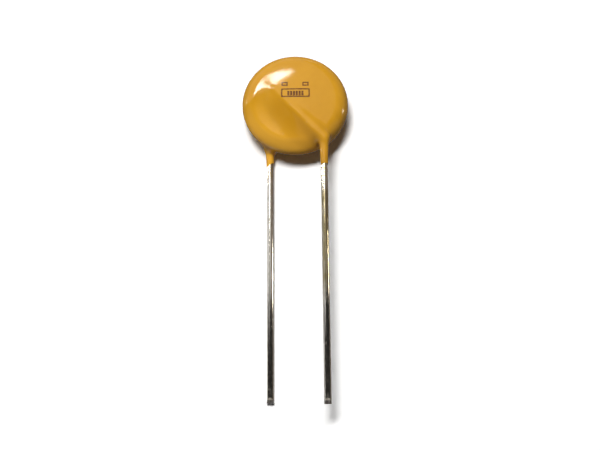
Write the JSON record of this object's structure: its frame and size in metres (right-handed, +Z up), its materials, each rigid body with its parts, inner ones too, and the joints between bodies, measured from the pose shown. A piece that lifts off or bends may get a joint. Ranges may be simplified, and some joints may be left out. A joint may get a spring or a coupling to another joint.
{
  "type": "leaded disc varistor",
  "caption": "Dip-coated ochre disc varistor lying on its back, with straight tinned wire leads and the coating drawn down over each lead as a short sleeve.",
  "frame": {"origin": "on the floor, under the middle of the part's box, with the part lying on its back", "axes": "+Z up out of the printed face, -Y along the leads towards their tips, +X towards the lead on the front face"},
  "size_m": [0.0094, 0.0322, 0.0034],
  "materials": {
    "epoxy": "glossy dip-coated epoxy",
    "tinned_wire": "bright tin with fine scuffs",
    "ceramic": "fired zinc oxide ceramic, matte",
    "silver": "fired silver, satin",
    "solder": "reflowed solder, satin"
  },
  "bodies": {
    "root": {"epoxy_coating": "epoxy", "front_lead": "tinned_wire", "rear_lead": "tinned_wire", "zinc_oxide_disc": "ceramic", "front_electrode": "silver", "rear_electrode": "silver", "front_solder": "solder", "rear_solder": "solder"}
  },
  "joints": []
}
